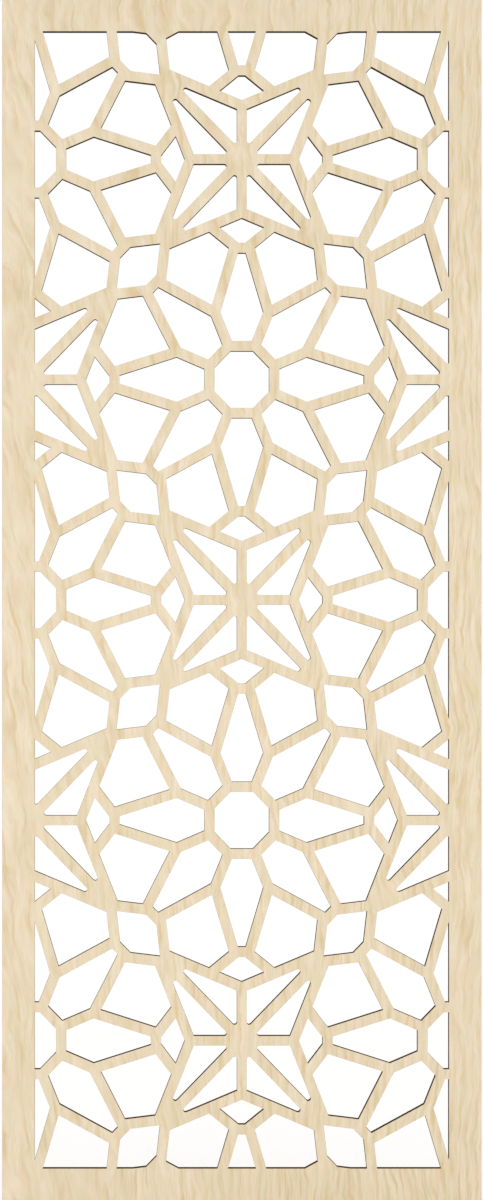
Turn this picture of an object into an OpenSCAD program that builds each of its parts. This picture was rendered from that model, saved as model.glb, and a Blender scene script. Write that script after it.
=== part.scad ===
// Fretwork wood panel: one sheet of five-ply birch with a star and rosette lattice
// cut right through it inside a plain rim.
// The panel stands upright and faces -Y. The origin is the middle of its back face.

/* [Panel] */
// Width of the sheet
panel_w = 593.7; // [560:0.1:620]
// Height of the sheet
panel_h = 1489.1; // [1400:0.1:1540]
// Width of the plain rim round the lattice
rim_w = 40.3; // [34:0.1:60]

/* [Plies] */
// Thickness of each face veneer, grain upright
face_t = 1.05; // [0.6:0.05:2]
// Thickness of each crossband, grain across
crossband_t = 1.45; // [0.8:0.05:3]
// Thickness of the core veneer, grain upright
core_t = 1.35; // [0.8:0.05:3]

/* [Lattice] */
// Distance across from a star's centre to the next rosette's centre
column_pitch = 264; // [258:0.5:280]
// Distance up from a star's centre to the next rosette's centre
row_pitch = 273; // [266:0.5:286]
// Width of the bars
bar_w = 12.5; // [9:0.1:14]

/* [Stars] */
// Distance from a star's centre to each notch between its points
star_notch = 64; // [58:0.1:70]
// Distance out and up from a star's centre to where its outline comes to a point
star_point = 108.2; // [103:0.1:114]
// Width of the level and upright spokes inside a star
spoke_w = 12; // [8:0.1:14]
// Width of the slanting spokes inside a star
slant_w = 12.9; // [8:0.1:14]
// Radius of the two sharp corners of each opening inside a star
corner_r = 3; // [1:0.1:3.5]

/* [Eyes] */
// Height above a star's axis where the side of an eye leaves the star's outline
eye_side = 39.5; // [34:0.1:44]
// Distance from a star's centre to the outer corners of an eye
eye_reach = 104.3; // [101:0.1:108]
// Half of the distance between those two corners
eye_half = 8.8; // [7:0.1:11]
// How much further out than its corners the short bar that closes an eye lies
eye_lip = 2; // [0:0.1:4]

/* [Rosettes] */
// Distance from a rosette's centre to the middle of each of its eight bars
rosette_r = 40.1; // [34:0.1:46]
// Distance from a rosette's centre to the shoulders of its petals
shoulder_r = 80.3; // [76:0.1:85]

/* [Rings] */
// Distance across from a ring's middle to the near end of its short bar
ring_near = 14; // [11:0.1:17]
// Distance down from a ring's middle to the same end
ring_far = 27.3; // [24:0.1:30]
// Distance out and up from a star of the middle column to where its ring bars meet
middle_tip = 94.2; // [91:0.1:98]
// The same distance for a star of the side columns
side_tip = 101.7; // [98:0.1:105]
// Slope of the ring bars where they leave a star, in degrees
ring_tilt = 6.7; // [4:0.1:9]

/* [Hidden] */

window_w = panel_w - 2 * rim_w;
window_h = panel_h - 2 * rim_w;
panel_t = 2 * face_t + 2 * crossband_t + core_t;
columns = ceil(window_w / 2 / column_pitch);
rows = ceil(window_h / 2 / row_pitch);
arc_steps = 8;

FACE_BIRCH = [0.91, 0.85, 0.73];
CROSS_BIRCH = [0.80, 0.70, 0.54];

// The lattice is drawn on a square pattern of side column_pitch and then stretched upwards
// to row_pitch. Its nodes are measured from a star, with rosettes to its right and above it
// and the next star across the square.
centre = [0, 0];
notch = [star_notch, 0];
point = [star_point, star_point];
eye_foot = notch + (point - notch) * eye_side / star_point;
eye_corner = [eye_reach, eye_half];
eye_end = [eye_reach + eye_lip, eye_half];
shoulder = [column_pitch - shoulder_r, shoulder_r * tan(22.5)];
rosette_corner = [column_pitch - rosette_r, rosette_r * tan(22.5)];
ring_corner = [column_pitch / 2 + ring_near, column_pitch / 2 - ring_far];

// The same node under the star's level axis, over its slanting axis, half a turn on about
// the middle of the square, and over the line between the two rosettes
function under(p) = [p[0], -p[1]];
function flipped(p) = [p[1], p[0]];
function turned(p) = [column_pitch - p[0], column_pitch - p[1]];
function opposite(p) = turned(flipped(p));

// A bar is [start, end, half width], and an opening is the list of the bars round it,
// anticlockwise.
function bar(start, end, width = bar_w) = [start, end, width / 2];
function reversed(b) = [b[1], b[0], b[2]];
function flipped_all(bars) =
    [for (i = [len(bars) - 1:-1:0]) [flipped(bars[i][1]), flipped(bars[i][0]), bars[i][2]]];
function turned_all(bars) = [for (b = bars) [turned(b[0]), turned(b[1]), b[2]]];

// The corners of an opening, where the inner edges of neighbouring bars meet
function stretched(p) = [p[0], p[1] * row_pitch / column_pitch];
function left_of(d) = [-d[1], d[0]] / norm(d);
function meet(first, second) =
    let (p = stretched(first[0]), q = stretched(second[0]))
    let (along = stretched(first[1]) - p, next = stretched(second[1]) - q)
    let (a = p + first[2] * left_of(along), b = q + second[2] * left_of(next))
    a + along * cross(b - a, next) / cross(along, next);
function corners(bars) =
    [for (i = [0:len(bars) - 1]) meet(bars[(i + len(bars) - 1) % len(bars)], bars[i])];

// Points of the arc that rounds the corner b between the corners a and c
function arc(a, b, c) =
    let (to_a = (a - b) / norm(a - b), to_c = (c - b) / norm(c - b))
    let (half = acos(to_a * to_c) / 2)
    let (middle = b + (to_a + to_c) / norm(to_a + to_c) * corner_r / sin(half))
    let (start = atan2(-to_a[0], to_a[1]) + 180)
    [for (i = [0:arc_steps])
        let (angle = start + (180 - 2 * half) * i / arc_steps)
        middle + corner_r * [cos(angle), sin(angle)]];

// Bars round the opening between a star's level and slanting spokes. The first corner
// is at the notch.
wedge = [bar(notch, point), bar(point, centre, slant_w), bar(centre, notch, spoke_w)];

// Bars round the small opening outside a notch
eye = [bar(notch, under(point)), bar(under(eye_foot), under(eye_corner)),
       bar(under(eye_end), eye_end), bar(eye_corner, eye_foot),
       bar(point, notch)];

// Bars round the long opening between an eye and a rosette
petal = [bar(under(eye_corner), under(shoulder)), bar(under(shoulder), under(rosette_corner)),
         bar(under(rosette_corner), rosette_corner), bar(rosette_corner, shoulder),
         bar(shoulder, eye_corner), bar(eye_end, under(eye_end))];

// Bars round the opening between a rosette and a ring
leaf = [bar(shoulder, rosette_corner), bar(rosette_corner, opposite(rosette_corner)),
        bar(opposite(rosette_corner), opposite(shoulder)),
        bar(opposite(shoulder), opposite(ring_corner)),
        bar(opposite(ring_corner), ring_corner), bar(ring_corner, shoulder)];

// The bar that leaves a star's tip to go round a ring
function ring_bar(tip) = bar([tip, tip], [tip, tip] + [cos(ring_tilt), sin(ring_tilt)]);

// Bars round the opening between a star's point, its eye and a ring
function kite(tip) =
    [bar(eye_foot, eye_corner), bar(eye_corner, shoulder), bar(shoulder, ring_corner),
     reversed(ring_bar(tip)), bar(point, notch)];

// Bars round one half of the opening in the middle of the square
function half_ring(tip) =
    concat(flipped_all([ring_bar(tip)]), [ring_bar(tip), bar(ring_corner, opposite(ring_corner))]);

module opening(bars) {
    polygon(corners(bars));
}

module rounded_opening(bars) {
    c = corners(bars);
    polygon(concat([c[0]], arc(c[0], c[1], c[2]), arc(c[1], c[2], c[0])));
}

// The openings of a star in one square, with the kites beside its point
module star_quarter(tip) {
    rounded_opening(wedge);
    rounded_opening(flipped_all(wedge));
    opening(kite(tip));
    opening(flipped_all(kite(tip)));
}

// The openings that lie inside one square, which goes from a star of the middle column
// to a star of a side column
module lattice_square() {
    star_quarter(middle_tip);
    translate([column_pitch, row_pitch])
        rotate(180)
            star_quarter(side_tip);
    opening(leaf);
    opening(flipped_all(leaf));
    opening(concat(half_ring(middle_tip), turned_all(half_ring(side_tip))));
}

// The openings on the axes of a star
module star_axes() {
    for (side = [0, 1]) {
        mirror([side, 0]) {
            opening(eye);
            opening(petal);
        }
        mirror([0, side]) {
            opening(flipped_all(eye));
            opening(flipped_all(petal));
        }
    }
}

module rosette() {
    corner = rosette_r / cos(22.5);
    opening([for (i = [0:7])
        bar(corner * [cos(45 * i - 22.5), sin(45 * i - 22.5)],
            corner * [cos(45 * i + 22.5), sin(45 * i + 22.5)])]);
}

function odd(n) = abs(n % 2);

module lattice_openings() {
    for (i = [-columns:columns - 1], j = [-rows:rows - 1])
        translate([(i + odd(i)) * column_pitch, (j + odd(j)) * row_pitch])
            mirror([odd(i), 0])
                mirror([0, odd(j)])
                    lattice_square();
    for (i = [-columns:columns], j = [-rows:rows])
        translate([i * column_pitch, j * row_pitch])
            if (odd(i + j) == 0)
                star_axes();
            else
                rosette();
}

// One ply of the sheet, whose back is at the given distance in front of the panel's back
module ply(thickness, back) {
    translate([0, -back, 0])
        rotate([90, 0, 0])
            linear_extrude(thickness)
                difference() {
                    square([panel_w, panel_h], center = true);
                    intersection() {
                        square([window_w, window_h], center = true);
                        lattice_openings();
                    }
                }
}

module back_veneer() {
    color(FACE_BIRCH)
        ply(face_t, 0);
}

module back_crossband() {
    color(CROSS_BIRCH)
        ply(crossband_t, face_t);
}

module core_veneer() {
    color(FACE_BIRCH)
        ply(core_t, face_t + crossband_t);
}

module front_crossband() {
    color(CROSS_BIRCH)
        ply(crossband_t, face_t + crossband_t + core_t);
}

module face_veneer() {
    color(FACE_BIRCH)
        ply(face_t, panel_t - face_t);
}

face_veneer();
front_crossband();
core_veneer();
back_crossband();
back_veneer();
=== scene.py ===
"""Fretwork wood panel: one sheet of five-ply birch with a star and rosette lattice cut
right through it by a laser, inside a plain rim. It stands upright and faces -Y."""

import math

import bmesh
import bpy
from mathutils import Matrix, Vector


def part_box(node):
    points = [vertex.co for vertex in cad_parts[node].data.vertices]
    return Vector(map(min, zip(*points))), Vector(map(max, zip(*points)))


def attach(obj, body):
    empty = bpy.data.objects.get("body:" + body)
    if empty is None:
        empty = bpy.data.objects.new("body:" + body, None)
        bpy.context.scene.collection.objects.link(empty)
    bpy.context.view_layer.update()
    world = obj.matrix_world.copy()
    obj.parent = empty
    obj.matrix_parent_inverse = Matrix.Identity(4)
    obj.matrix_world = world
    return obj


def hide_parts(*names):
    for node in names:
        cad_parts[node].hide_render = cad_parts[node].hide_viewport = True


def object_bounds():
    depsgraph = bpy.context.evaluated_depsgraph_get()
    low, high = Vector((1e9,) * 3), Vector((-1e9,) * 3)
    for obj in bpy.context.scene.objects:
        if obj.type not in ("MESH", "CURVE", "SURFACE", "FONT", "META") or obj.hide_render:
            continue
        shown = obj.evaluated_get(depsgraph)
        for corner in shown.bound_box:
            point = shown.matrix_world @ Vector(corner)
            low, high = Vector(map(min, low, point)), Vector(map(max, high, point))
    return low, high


bl_info = {
    "name": "Fretwork Wood Panel",
    "version": (1, 0, 0),
    "blender": (4, 5, 0),
    "location": "3D View > Sidebar > Fretwork",
    "description": "Dresses a laser-cut birch plywood panel and sets it on a pale stage",
    "category": "Add Mesh",
}

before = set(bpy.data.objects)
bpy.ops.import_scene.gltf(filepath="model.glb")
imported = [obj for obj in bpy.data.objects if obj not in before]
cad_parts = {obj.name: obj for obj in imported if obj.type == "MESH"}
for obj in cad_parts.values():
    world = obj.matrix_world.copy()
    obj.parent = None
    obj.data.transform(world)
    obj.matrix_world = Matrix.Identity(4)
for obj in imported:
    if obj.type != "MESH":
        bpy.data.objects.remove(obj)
CAD_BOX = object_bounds()

BODY = "root"
MM, MICRON = 0.001, 0.000001

# Places along Y of the two faces and of the glue lines behind them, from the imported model
SHOW_FACE = CAD_BOX[0].y
BACK_FACE = CAD_BOX[1].y
FACE_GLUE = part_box("face_veneer")[1].y
BACK_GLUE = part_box("back_veneer")[0].y

# Patches of veneer as (across the grain, along it) in mm: those that sway, kink or wobble
# together, those where the rings crowd or part, and those with one figure, brown or cast
SWAY_PATCH, KINK_PATCH, WOBBLE_PATCH = (90, 210), (45, 60), (20, 14)
CROWDED_PATCH, FIGURE_PATCH, BROWN_PATCH = (60, 130), (34, 80), (26, 50)
GREEN_OR_ROSY_PATCH, STRAW_OR_CHALK_PATCH = (12, 22), (10, 20)

# Where the rings crowd or part, they shift by up to half this many of them
CROWDING = 1.8
# Beyond a ring line the next year's pale wood begins within this many mm
YEAR_EDGE = 1.4

# Streaks follow the rings, so they are (shares of a ring across, mm along)
NARROW_STREAK, WIDE_STREAK, FADING_LINE = (0.27, 34), (0.7, 60), (1.4, 46)
# Birch's pores are about 0.1 mm wide and leave fine lines along the grain. These are drawn
# this coarse, in mm, so that they show
FIBRE = (0.7, 14)

# The tone goes from 0 for deep wood to 1 for pale wood. Here are that of wood without a
# figure, what a lively figure adds to it, and what each line, streak or fibre adds
PLAIN_TONE, LIVELY_TONE = 0.61, -0.3
LINE_WEIGHT, NARROW_WEIGHT, WIDE_WEIGHT, FIBRE_WEIGHT = -0.52, 1.45, 1.0, 0.8
# The greater this is, the thinner the dark core of a ring line
LINE_CORE = 1.6
# The share of a cast in the colour of the wood
CAST_SHARE = 0.22
# The greater this is, the closer the browning keeps to the cut
BROWNING_FALL = 2.2

# Soot on a wall lies in patches some 11 mm wide, and the beam's marks are drawn out to as
# much through the thickness, so both come this many to a metre
SOOT_PATCHES = 90
# How far the burnt glue line between two plies reaches over a wall, and its black core
GLUE_REACH, GLUE_CORE = 0.14 * MM, 0.03 * MM


def linear(code):
    """The scene-linear colour of an sRGB hex value."""
    values = [int(code[i : i + 2], 16) / 255 for i in (1, 3, 5)]
    return [v / 12.92 if v <= 0.04045 else ((v + 0.055) / 1.055) ** 2.4 for v in values]


def colour(name, description, code):
    return bpy.props.FloatVectorProperty(
        name=name, description=description, subtype="COLOR", size=3, min=0, max=1, default=linear(code)
    )


def length(name, description, value):
    return bpy.props.FloatProperty(
        name=name, description=description, subtype="DISTANCE", unit="LENGTH", min=0, default=value
    )


class BirchSettings(bpy.types.PropertyGroup):
    """Rotary-cut birch veneer, sanded and left raw."""

    pale: colour("Pale wood", "The palest streaks of the face veneer", "#F6E9D2")
    common: colour("Common wood", "The colour of most of the face veneer", "#E8D7B9")
    deep: colour("Deep wood", "The darkest streaks of the face veneer", "#D4BF92")
    tan: colour("Tan latewood", "The ring lines where they are at their brownest", "#DEB87C")
    rosy: colour("Rosy cast", "The pinker patches of the veneer", "#F3CFB0")
    green: colour("Green cast", "The greyer, greener patches of the veneer", "#DCDDB2")
    straw: colour("Straw cast", "The yellower patches of the veneer", "#E8D8A4")
    chalk: colour("Chalky cast", "The whiter patches of the veneer", "#ECDECA")
    wide_ring: length("Ring spacing, left", "Between ring lines at the left edge", 28 * MM)
    close_ring: length("Ring spacing, right", "Between ring lines at the right edge", 10 * MM)
    latewood: length("Latewood width", "How wide the wood is that darkens towards a ring line", 6 * MM)
    lean: bpy.props.FloatProperty(
        name="Lean", description="Steps to the right for each step down the grain, at the left edge",
        default=0.2,
    )
    sway: length("Sway", "How far the grain swings from side to side over some 200 mm", 44 * MM)
    kink: length("Kink", "How far it swings over some 60 mm", 9 * MM)
    wobble: length("Wobble", "How far it swings over some 15 mm", 5 * MM)


class CutSettings(bpy.types.PropertyGroup):
    """What the laser leaves on the walls of the cuts and on the edges of the faces."""

    long_char: colour("Charred long grain", "Cut walls along a ply's grain", "#54402C")
    end_char: colour("Charred end grain", "Cut walls across a ply's grain", "#322418")
    glue_char: colour("Charred glue", "The glue line between two plies", "#140E09")
    scorch: colour("Scorched edge", "The edge of a face next to a cut", "#9C886C")
    arris: length("Burnt arris", "Width of the edge that the beam has rounded off", 0.09 * MM)
    halo: length("Smoke halo", "Width of the faint browning on the face beside a cut", 0.4 * MM)
    striation: length("Striation", "Between the beam's marks on a wall, coarser than real", 0.4 * MM)


class StageSettings(bpy.types.PropertyGroup):
    """The floor, the light and the camera of the product photograph."""

    floor: colour("Floor", "Matt white paper", "#F4F3F1")
    sky: bpy.props.FloatProperty(
        name="Studio light", description="Strength of the even light from all round", min=0, default=0.85
    )
    key: bpy.props.FloatProperty(
        name="Softbox", description="Power of the wide, low softbox in front",
        subtype="POWER", unit="POWER", min=0, default=13.0,
    )
    key_width: length("Softbox width", "From its left side to its right side", 2.4)
    key_height: length("Softbox height", "From its lower edge to its upper edge", 0.5)
    distance: length("Camera distance", "From the show face to the lens", 2.15)
    across: bpy.props.FloatProperty(
        name="Camera across", description="Place of the lens to the right of the middle",
        subtype="DISTANCE", unit="LENGTH", default=-0.156,
    )
    up: bpy.props.FloatProperty(
        name="Camera up", description="Place of the lens above the middle",
        subtype="DISTANCE", unit="LENGTH", default=-0.035,
    )
    lens: bpy.props.FloatProperty(
        name="Focal length", description="Of the lens, on a 36 mm tall sensor",
        subtype="DISTANCE_CAMERA", unit="CAMERA", min=1, default=52.08,
    )


class FretworkSettings(bpy.types.PropertyGroup):
    """All that a user would change on the panel and its stage."""

    birch: bpy.props.PointerProperty(type=BirchSettings)
    cut: bpy.props.PointerProperty(type=CutSettings)
    stage: bpy.props.PointerProperty(type=StageSettings)


def add(tree, kind, inputs=None, stops=None, **settings):
    """Adds a node with its settings, its ramp's stops, and a value or a link for each input."""
    node = tree.nodes.new(kind)
    for name, value in settings.items():
        setattr(node, name, value)
    for socket, value in (inputs or {}).items():
        if isinstance(value, bpy.types.NodeSocket):
            tree.links.new(value, node.inputs[socket])
        else:
            node.inputs[socket].default_value = value
    if stops:
        ramp = node.color_ramp
        while len(ramp.elements) < len(stops):
            ramp.elements.new(1)
        for element, (place, shade) in zip(ramp.elements, stops):
            element.position = place
            element.color = [*shade, 1]
    return node


def new_material(name):
    """An empty node material, as (material, tree)."""
    material = bpy.data.materials.new(name)
    material.use_nodes = True
    material.node_tree.nodes.clear()
    return material, material.node_tree


def grain_noise(tree, place, patch, seed, detail=2.0, roughness=0.5):
    """Noise in patches drawn out along the grain. Each use has a seed of its own."""
    across, along = patch
    stretched = add(tree, "ShaderNodeMapping", {
        "Vector": place, "Location": (seed, seed / 2, 0), "Scale": (1 / across, 0, 1 / along),
    })
    noise = add(tree, "ShaderNodeTexNoise", {
        "Vector": stretched.outputs[0], "Scale": 1, "Detail": detail, "Roughness": roughness,
    })
    return noise.outputs[0]


def weighted(tree, start, *terms):
    """start plus the sum of weight times (value minus one half)."""
    total = start
    for value, weight in terms:
        scaled = add(tree, "ShaderNodeMath", {
            0: value, 1: weight, 2: -weight / 2,
        }, operation="MULTIPLY_ADD").outputs[0]
        total = add(tree, "ShaderNodeMath", {0: scaled, 1: total}, operation="ADD").outputs[0]
    return total


def growth_rings(tree, place, birch, seed):
    """Where a point lies in the figure of a rotary-cut veneer, as (rings, line).
    The lathe's knife has crossed the growth rings at a shallow angle, so their lines lie
    wide apart at one side of the sheet and close together at the other, and all the lines
    of a patch lean, sway and kink together. rings counts the rings, and line is 1 at a
    ring line."""
    parts = add(tree, "ShaderNodeSeparateXYZ", {0: place}).outputs
    left, right = CAD_BOX[0].x / MM, CAD_BOX[1].x / MM

    # The grain leans at the left edge and is upright from a little right of the middle
    upright_from = right / 5
    lean = add(tree, "ShaderNodeMapRange", {
        "Value": parts["X"], "From Min": left, "From Max": upright_from,
        "To Min": birch.lean, "To Max": 0.0,
    }).outputs[0]
    leaning = add(tree, "ShaderNodeMath", {
        0: parts["Z"], 1: lean, 2: parts["X"],
    }, operation="MULTIPLY_ADD").outputs[0]
    across = weighted(
        tree, leaning,
        (grain_noise(tree, place, SWAY_PATCH, seed + 1.3, 1), birch.sway / MM),
        (grain_noise(tree, place, KINK_PATCH, seed + 5.7, 1.5), birch.kink / MM),
        (grain_noise(tree, place, WOBBLE_PATCH, seed + 8.1, 1), birch.wobble / MM),
    )

    # The rings in a mm grow evenly from edge to edge, so their sum is a square law
    at_left, at_right = MM / birch.wide_ring, MM / birch.close_ring
    middle, growth = (at_left + at_right) / 2, (at_right - at_left) / (right - left)
    mean = add(tree, "ShaderNodeMath", {
        0: across, 1: growth / 2, 2: middle,
    }, operation="MULTIPLY_ADD").outputs[0]
    even = add(tree, "ShaderNodeMath", {0: across, 1: mean}, operation="MULTIPLY").outputs[0]
    rings = weighted(
        tree, even, (grain_noise(tree, place, CROWDED_PATCH, seed + 9.1, 2, 0.6), CROWDING),
    )
    density = add(tree, "ShaderNodeMath", {
        0: parts["X"], 1: growth, 2: middle,
    }, operation="MULTIPLY_ADD").outputs[0]

    # Latewood darkens gently towards its line and ends there within a short way
    share = add(tree, "ShaderNodeMath", {0: rings}, operation="FRACT").outputs[0]
    rest = add(tree, "ShaderNodeMath", {0: 1.0, 1: share}, operation="SUBTRACT").outputs[0]
    slopes = []
    for part, width in ((rest, birch.latewood / MM), (share, YEAR_EDGE)):
        distance = add(tree, "ShaderNodeMath", {0: part, 1: density}, operation="DIVIDE").outputs[0]
        slopes.append(add(tree, "ShaderNodeMapRange", {
            "Value": distance, "From Max": width, "To Min": 1.0, "To Max": 0.0,
        }, interpolation_type="SMOOTHSTEP").outputs[0])
    line = add(tree, "ShaderNodeMath", {0: slopes[0], 1: slopes[1]}, operation="MAXIMUM").outputs[0]
    return rings, line


# Rotary-cut birch face veneer, sanded with fine paper and left raw. The eye sees a pale
# cream wood with wavy ring lines and streaks along the grain, tan where the latewood is at
# its brownest, patches with a rosy, green, straw or chalky cast, and hardly any gloss.
# Beside each cut the face is faintly browned.
def birch_veneer(name, birch, cut, seed, strength):
    material, tree = new_material(name)
    where = add(tree, "ShaderNodeTexCoord").outputs["Object"]
    place = add(tree, "ShaderNodeVectorMath", {0: where, "Scale": 1 / MM}, operation="SCALE").outputs[0]
    rings, line = growth_rings(tree, place, birch, seed)
    up = add(tree, "ShaderNodeSeparateXYZ", {0: place}).outputs["Z"]
    ringwise = add(tree, "ShaderNodeCombineXYZ", {"X": rings, "Z": up}).outputs[0]

    # A ring line fades in and out along its length
    fade = add(tree, "ShaderNodeMapRange", {
        "Value": grain_noise(tree, ringwise, FADING_LINE, seed + 2.2),
        "From Min": 0.36, "From Max": 0.62, "To Min": 0.1,
    }).outputs[0]
    line = add(tree, "ShaderNodeMath", {0: line, 1: fade}, operation="MULTIPLY").outputs[0]
    dark = add(tree, "ShaderNodeMath", {0: line, 1: LINE_CORE}, operation="POWER").outputs[0]
    fibre = grain_noise(tree, place, FIBRE, seed + 2.9)
    streaks = weighted(
        tree, 0.0,
        (dark, LINE_WEIGHT * strength),
        (grain_noise(tree, ringwise, NARROW_STREAK, seed + 4.4, 2, 0.6), NARROW_WEIGHT * strength),
        (grain_noise(tree, ringwise, WIDE_STREAK, seed + 3.3, 1), WIDE_WEIGHT * strength),
        (fibre, FIBRE_WEIGHT),
    )

    # Some patches are plain and a little paler, between others with a lively figure
    figure = add(tree, "ShaderNodeMapRange", {
        "Value": grain_noise(tree, place, FIGURE_PATCH, seed + 6.6, 1),
        "From Min": 0.36, "From Max": 0.6, "To Min": 0.6, "To Max": 1.2,
    }).outputs[0]
    plain = add(tree, "ShaderNodeMath", {
        0: figure, 1: LIVELY_TONE, 2: PLAIN_TONE,
    }, operation="MULTIPLY_ADD").outputs[0]
    tone = add(tree, "ShaderNodeMath", {
        0: streaks, 1: figure, 2: plain,
    }, operation="MULTIPLY_ADD").outputs[0]
    wood = add(tree, "ShaderNodeValToRGB", {0: tone}, stops=[
        (0.0, birch.deep), (0.5, birch.common), (1.0, birch.pale),
    ])
    brown = add(tree, "ShaderNodeMapRange", {
        "Value": grain_noise(tree, place, BROWN_PATCH, seed + 1.9),
        "From Min": 0.44, "From Max": 0.6, "To Max": 0.6,
    }).outputs[0]
    tan = add(tree, "ShaderNodeMath", {0: line, 1: brown}, operation="MULTIPLY").outputs[0]
    toned = add(tree, "ShaderNodeMix", {
        0: tan, 6: wood.outputs[0], 7: [*birch.tan, 1],
    }, data_type="RGBA").outputs[2]

    # The cast wanders in patches, from green to rosy and from straw to chalk. Most of the
    # noise lies between 0.3 and 0.7
    for low, high, patch, offset in (
        (birch.green, birch.rosy, GREEN_OR_ROSY_PATCH, 0.7),
        (birch.straw, birch.chalk, STRAW_OR_CHALK_PATCH, 7.7),
    ):
        cast = add(tree, "ShaderNodeValToRGB", {
            0: grain_noise(tree, place, patch, seed + offset),
        }, stops=[(0.3, low), (0.5, birch.common), (0.7, high)]).outputs[0]
        toned = add(tree, "ShaderNodeMix", {
            0: CAST_SHARE, 6: toned, 7: cast,
        }, data_type="RGBA").outputs[2]

    # Browning, from the mesh's own measure of how near the cut is
    near = add(tree, "ShaderNodeAttribute", attribute_name="scorch").outputs["Fac"]
    burnt = add(tree, "ShaderNodeMath", {0: near, 1: BROWNING_FALL}, operation="POWER").outputs[0]
    scorched = add(tree, "ShaderNodeMix", {
        0: burnt, 6: toned, 7: [*cut.scorch, 1],
    }, data_type="RGBA")

    rough = add(tree, "ShaderNodeMapRange", {"Value": fibre, "To Min": 0.58, "To Max": 0.76}).outputs[0]
    relief = add(tree, "ShaderNodeBump", {"Height": fibre, "Strength": 0.25, "Distance": 0.03 * MM})
    shader = add(tree, "ShaderNodeBsdfPrincipled", {
        "Base Color": scorched.outputs[2], "Roughness": rough, "IOR": 1.5, "Specular IOR Level": 0.3,
        "Normal": relief.outputs[0],
    })
    add(tree, "ShaderNodeOutputMaterial", {0: shader.outputs[0]})
    return material


# Birch ply charred by a laser. The eye sees a matt dark brown wall, darker where it
# crosses the ply's grain, with fine marks of the beam through the thickness and a nearly
# black line where the glue has burnt. The ply lies between low and high along Y.
def charred_birch(name, cut, low, high, grain_axis):
    material, tree = new_material(name)
    coordinates = add(tree, "ShaderNodeTexCoord")
    where = coordinates.outputs["Object"]
    marks = add(tree, "ShaderNodeMapping", {
        "Vector": where, "Scale": (1 / cut.striation, SOOT_PATCHES, 1 / cut.striation),
    })
    beam = add(tree, "ShaderNodeTexNoise", {"Vector": marks.outputs[0], "Scale": 1, "Detail": 2})
    soot = add(tree, "ShaderNodeTexNoise", {"Vector": where, "Scale": SOOT_PATCHES, "Detail": 3})
    facing = add(tree, "ShaderNodeSeparateXYZ", {0: coordinates.outputs["Normal"]}).outputs[grain_axis]
    end = add(tree, "ShaderNodeMath", {0: facing}, operation="ABSOLUTE").outputs[0]
    char = add(tree, "ShaderNodeMix", {
        0: end, 6: [*cut.long_char, 1], 7: [*cut.end_char, 1],
    }, data_type="RGBA").outputs[2]
    lightness = weighted(tree, 1.0, (beam.outputs[0], 0.9), (soot.outputs[0], 0.5))
    uneven = add(tree, "ShaderNodeVectorMath", {
        0: char, "Scale": lightness,
    }, operation="SCALE").outputs[0]

    depth = add(tree, "ShaderNodeSeparateXYZ", {0: where}).outputs["Y"]
    middle, half = (low + high) / 2, (high - low) / 2
    off = add(tree, "ShaderNodeMath", {0: depth, 1: middle}, operation="SUBTRACT").outputs[0]
    away = add(tree, "ShaderNodeMath", {0: off}, operation="ABSOLUTE").outputs[0]
    glue = add(tree, "ShaderNodeMapRange", {
        "Value": away, "From Min": half - GLUE_REACH, "From Max": half - GLUE_CORE,
    }, interpolation_type="SMOOTHSTEP").outputs[0]
    walled = add(tree, "ShaderNodeMix", {
        0: glue, 6: uneven, 7: [*cut.glue_char, 1],
    }, data_type="RGBA")
    relief = add(tree, "ShaderNodeBump", {"Height": beam.outputs[0], "Strength": 0.5, "Distance": 0.05 * MM})
    shader = add(tree, "ShaderNodeBsdfPrincipled", {
        "Base Color": walled.outputs[2], "Roughness": 0.95, "IOR": 1.5, "Specular IOR Level": 0.06,
        "Normal": relief.outputs[0],
    })
    add(tree, "ShaderNodeOutputMaterial", {0: shader.outputs[0]})
    return material


# A ply's faces whose normal has less than this along Y look to the front
TO_THE_FRONT = -0.9


def cut_outlines(node):
    """The outlines of a ply's show side as lists of (x, z), with the wood on their left."""
    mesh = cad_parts[node].data
    place, border = {}, {}
    for polygon in mesh.polygons:
        if polygon.normal.y > TO_THE_FRONT:
            continue
        corners = []
        for i in polygon.vertices:
            co = mesh.vertices[i].co
            key = (round(co.x / MICRON), round(co.z / MICRON))
            place.setdefault(key, Vector((co.x, co.z)))
            corners.append(key)
        for start, end in zip(corners, corners[1:] + corners[:1]):
            if (end, start) in border:
                del border[end, start]
            else:
                border[start, end] = True

    # Edges between two faces have cancelled out, and the others lead from corner to corner
    after = dict(border.keys())
    loops = []
    while after:
        first, here = next(iter(after.items()))
        loop = [first]
        del after[first]
        while here != first:
            loop.append(here)
            here = after.pop(here)
        loops.append([place[key] for key in loop])
    return loops


# A sharp corner moves at most this many times as far as the sides beside it
CORNER_REACH = 2


def moved_into_wood(loop, distance):
    """The outline moved into the wood, with the reach of its sharp corners limited."""
    moved = []
    for before, here, after in zip(loop[-1:] + loop[:-1], loop, loop[1:] + loop[:1]):
        first, second = (here - before).normalized(), (after - here).normalized()
        side, other = Vector((-first.y, first.x)), Vector((-second.y, second.x))
        between = (side + other).normalized()
        moved.append(here + between * distance / max(between.dot(side), 1 / CORNER_REACH))
    for old, new in zip(zip(loop, loop[1:] + loop[:1]), zip(moved, moved[1:] + moved[:1])):
        if (old[1] - old[0]).dot(new[1] - new[0]) <= 0:
            raise RuntimeError(f"an outline folds when it is moved by {distance / MM:.2f} mm")
    return moved


def fill(bm, rings, outward):
    """Fills the sheet between rings of mesh vertices, facing along Y times outward."""
    edges = []
    for ring in rings:
        for start, end in zip(ring, ring[1:] + ring[:1]):
            edges.append(bm.edges.get((start, end)) or bm.edges.new((start, end)))
    made = bmesh.ops.triangle_fill(bm, use_beauty=True, edges=edges, normal=(0, outward, 0))
    return [part for part in made["geom"] if isinstance(part, bmesh.types.BMFace)]


# Char covers this share of the arris, and the halo starts from this much scorch
CHARRED_SHARE, HALO_START = 0.3, 0.8


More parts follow.
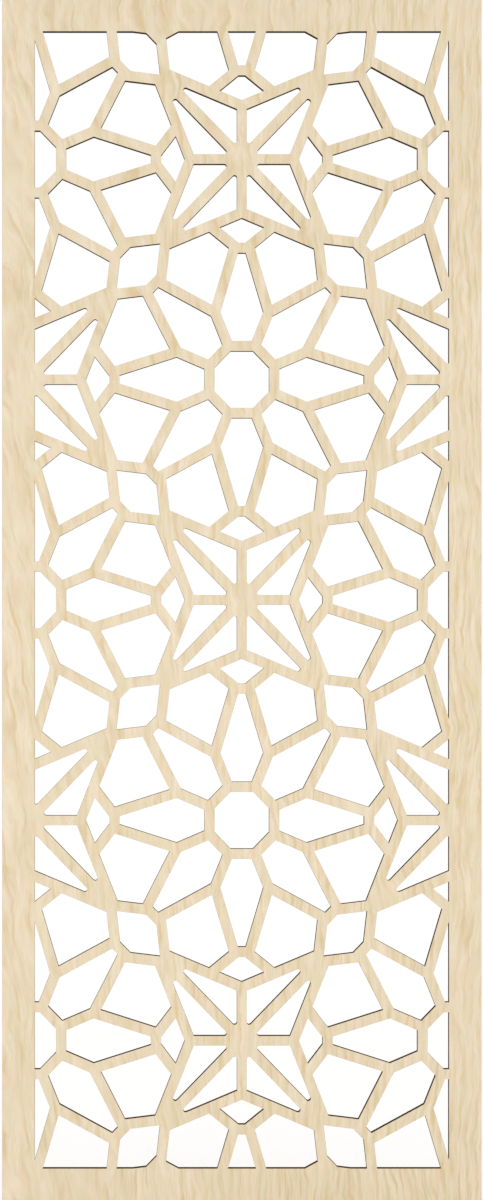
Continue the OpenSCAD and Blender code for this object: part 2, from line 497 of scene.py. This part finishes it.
def veneer(name, outlines, glue, face, cut):
    """A face veneer from the glue line to its face, with the arris that the beam has burnt
    off round each outline. The attribute scorch is 1 at the cut and 0 beyond the halo."""
    bm = bmesh.new()
    scorch = bm.verts.layers.float.new("scorch")
    outward = 1 if face > glue else -1
    arris, charred_arris = cut.arris, CHARRED_SHARE * cut.arris
    steps = [  # (into the wood, below the face, scorch, made of char)
        (0.0, abs(face - glue), 1.0, True),
        (0.0, arris, 1.0, True),
        (charred_arris, charred_arris, 1.0, True),
        (arris, 0.0, HALO_START, False),
        (arris + cut.halo, 0.0, 0.0, False),
    ]
    inner, outer = [], []
    for outline in outlines:
        last = None
        for into, below, burn, charred in steps:
            ring = []
            for x, z in moved_into_wood(outline, into) if into else outline:
                vertex = bm.verts.new((x, face - outward * below, z))
                vertex[scorch] = burn
                ring.append(vertex)
            if last:
                for i in range(len(ring)):
                    j = (i + 1) % len(ring)
                    wall = bm.faces.new((last[i], last[j], ring[j], ring[i]))
                    wall.material_index = 1 if charred else 0
            else:
                inner.append(ring)
            last = ring
        outer.append(last)
    fill(bm, outer, outward)
    for glued in fill(bm, inner, -outward):
        glued.material_index = 1
    bmesh.ops.recalc_face_normals(bm, faces=bm.faces)
    if any(not edge.is_manifold for edge in bm.edges):
        raise RuntimeError(f"{name} isn't closed")
    mesh = bpy.data.meshes.new(name)
    bm.to_mesh(mesh)
    bm.free()
    piece = bpy.data.objects.new(name, mesh)
    bpy.context.scene.collection.objects.link(piece)
    return piece


class FRETWORK_OT_face_veneers(bpy.types.Operator):
    """Makes the show face and the back face, with the grain and the burnt edges of the cuts"""

    bl_idname = "fretwork.face_veneers"
    bl_label = "Face Veneers"

    def execute(self, context):
        birch, cut = context.scene.fretwork.birch, context.scene.fretwork.cut

        # The back is cut from another stretch of the log, with a somewhat stronger figure
        for name, glue, face, seed, strength, slot in (
            ("face_veneer", FACE_GLUE, SHOW_FACE, 0.0, 1.0, "face_birch"),
            ("back_veneer", BACK_GLUE, BACK_FACE, 40.0, 1.35, "back_birch"),
        ):
            piece = veneer(name + "_sheet", cut_outlines(name), glue, face, cut)
            low, high = sorted((glue, face))
            for material in (
                birch_veneer(name + "_sanded_birch", birch, cut, seed, strength),
                charred_birch(name + "_laser_char", cut, low, high, "Z"),
            ):
                piece.data.materials.append(material)
            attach(piece, BODY)
            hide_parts(name)
        return {"FINISHED"}


class FRETWORK_OT_inner_plies(bpy.types.Operator):
    """Chars the cut walls of the crossbands and the core, which are all that shows of them"""

    bl_idname = "fretwork.inner_plies"
    bl_label = "Inner Plies"

    def execute(self, context):
        cut = context.scene.fretwork.cut
        for name, grain_axis in (
            ("front_crossband", "X"), ("core_veneer", "Z"), ("back_crossband", "X"),
        ):
            low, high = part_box(name)
            char = charred_birch(name + "_laser_char", cut, low.y, high.y, grain_axis)
            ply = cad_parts[name]
            ply.data.materials.clear()
            ply.data.materials.append(char)
        return {"FINISHED"}


# The point of the show face that lies in the middle of the photograph, as (x, z)
PHOTO_MIDDLE = (0.18 * MM, -0.10 * MM)
# The sensor spans the photograph's long side
SENSOR_MM = 36
# The softbox stands in front, low, with its lower edge just above the floor
SOFTBOX_PLACE = Vector((-0.3, -2.5, -0.47))
FLOOR_RADIUS = 6
FLOOR_GAP = 0.2 * MM
# To the camera the paper is by this share a glow of this strength, so that it looks white
# but for a soft shadow
GLOW_SHARE, GLOW_STRENGTH = 0.44, 1.33


class FRETWORK_OT_stage(bpy.types.Operator):
    """Sets the white floor, the soft studio light and the camera"""

    bl_idname = "fretwork.stage"
    bl_label = "Stage"

    def execute(self, context):
        scene, stage = context.scene, context.scene.fretwork.stage
        scene.view_settings.view_transform = "Standard"

        # The world is white to the camera and a little less bright as a light
        world = bpy.data.worlds.new("white_studio")
        scene.world = world
        world.use_nodes = True
        world.node_tree.nodes.clear()
        tree = world.node_tree
        path = add(tree, "ShaderNodeLightPath").outputs
        seen = path["Is Camera Ray"]
        for ray in ("Is Glossy Ray", "Is Transmission Ray"):
            seen = add(tree, "ShaderNodeMath", {0: seen, 1: path[ray]}, operation="MAXIMUM").outputs[0]
        light, white = [
            add(tree, "ShaderNodeBackground", {"Color": (1, 1, 1, 1), "Strength": strength}).outputs[0]
            for strength in (stage.sky, 1)
        ]
        both = add(tree, "ShaderNodeMixShader", {0: seen, 1: light, 2: white})
        add(tree, "ShaderNodeOutputWorld", {0: both.outputs[0]})

        # Matt white paper, on which the eye sees nothing but the panel's faint, soft shadow
        paper, tree = new_material("matt_white_paper")
        path = add(tree, "ShaderNodeLightPath").outputs
        matt = add(tree, "ShaderNodeBsdfDiffuse", {"Color": [*stage.floor, 1]}).outputs[0]
        glow = add(tree, "ShaderNodeEmission", {
            "Color": (1, 1, 1, 1), "Strength": GLOW_STRENGTH,
        }).outputs[0]
        lifted = add(tree, "ShaderNodeMath", {
            0: path["Is Camera Ray"], 1: GLOW_SHARE,
        }, operation="MULTIPLY").outputs[0]
        mixed = add(tree, "ShaderNodeMixShader", {0: lifted, 1: matt, 2: glow})
        add(tree, "ShaderNodeOutputMaterial", {0: mixed.outputs[0]})

        bm = bmesh.new()
        bmesh.ops.create_circle(bm, cap_ends=True, radius=FLOOR_RADIUS, segments=96)
        mesh = bpy.data.meshes.new("floor")
        bm.to_mesh(mesh)
        bm.free()
        mesh.materials.append(paper)
        floor = bpy.data.objects.new("floor", mesh)
        floor.location.z = CAD_BOX[0].z - FLOOR_GAP
        scene.collection.objects.link(floor)

        # One wide, low softbox in front, which evens out the shade near the floor
        lamp = bpy.data.lights.new("softbox", "AREA")
        lamp.shape, lamp.size, lamp.size_y = "RECTANGLE", stage.key_width, stage.key_height
        lamp.energy = stage.key
        box = bpy.data.objects.new("softbox", lamp)
        box.location = SOFTBOX_PLACE
        box.rotation_euler = (-SOFTBOX_PLACE).to_track_quat("-Z", "Y").to_euler()
        scene.collection.objects.link(box)

        # The camera looks square on; the shift puts the panel in the middle of the frame
        data = bpy.data.cameras.new("camera")
        data.sensor_width, data.lens = SENSOR_MM, stage.lens
        frame_height = SENSOR_MM * stage.distance / stage.lens
        data.shift_x = (PHOTO_MIDDLE[0] - stage.across) / frame_height
        data.shift_y = (PHOTO_MIDDLE[1] - stage.up) / frame_height
        data.clip_start, data.clip_end = 0.05, 50
        camera = bpy.data.objects.new("camera", data)
        camera.location = (stage.across, SHOW_FACE - stage.distance, stage.up)
        camera.rotation_euler = (math.radians(90), 0, 0)
        scene.collection.objects.link(camera)
        scene.camera = camera
        return {"FINISHED"}


class FRETWORK_PT_sidebar(bpy.types.Panel):
    """Lists what makes the panel and its stage"""

    bl_idname = "FRETWORK_PT_sidebar"
    bl_label = "Fretwork Panel"
    bl_space_type = "VIEW_3D"
    bl_region_type = "UI"
    bl_category = "Fretwork"

    def draw(self, context):
        settings = context.scene.fretwork
        for operator, group in (
            (FRETWORK_OT_face_veneers, settings.birch),
            (FRETWORK_OT_inner_plies, settings.cut),
            (FRETWORK_OT_stage, settings.stage),
        ):
            box = self.layout.box()
            box.operator(operator.bl_idname)
            for name in group.bl_rna.properties.keys():
                if name not in ("rna_type", "name"):
                    box.prop(group, name)


CLASSES = (
    BirchSettings,
    CutSettings,
    StageSettings,
    FretworkSettings,
    FRETWORK_OT_face_veneers,
    FRETWORK_OT_inner_plies,
    FRETWORK_OT_stage,
    FRETWORK_PT_sidebar,
)


def register():
    for cls in CLASSES:
        bpy.utils.register_class(cls)
    bpy.types.Scene.fretwork = bpy.props.PointerProperty(type=FretworkSettings)


def unregister():
    del bpy.types.Scene.fretwork
    for cls in reversed(CLASSES):
        bpy.utils.unregister_class(cls)


def main():
    register()
    bpy.ops.fretwork.face_veneers()
    bpy.ops.fretwork.inner_plies()
    bpy.ops.fretwork.stage()


if __name__ == "__main__":
    main()
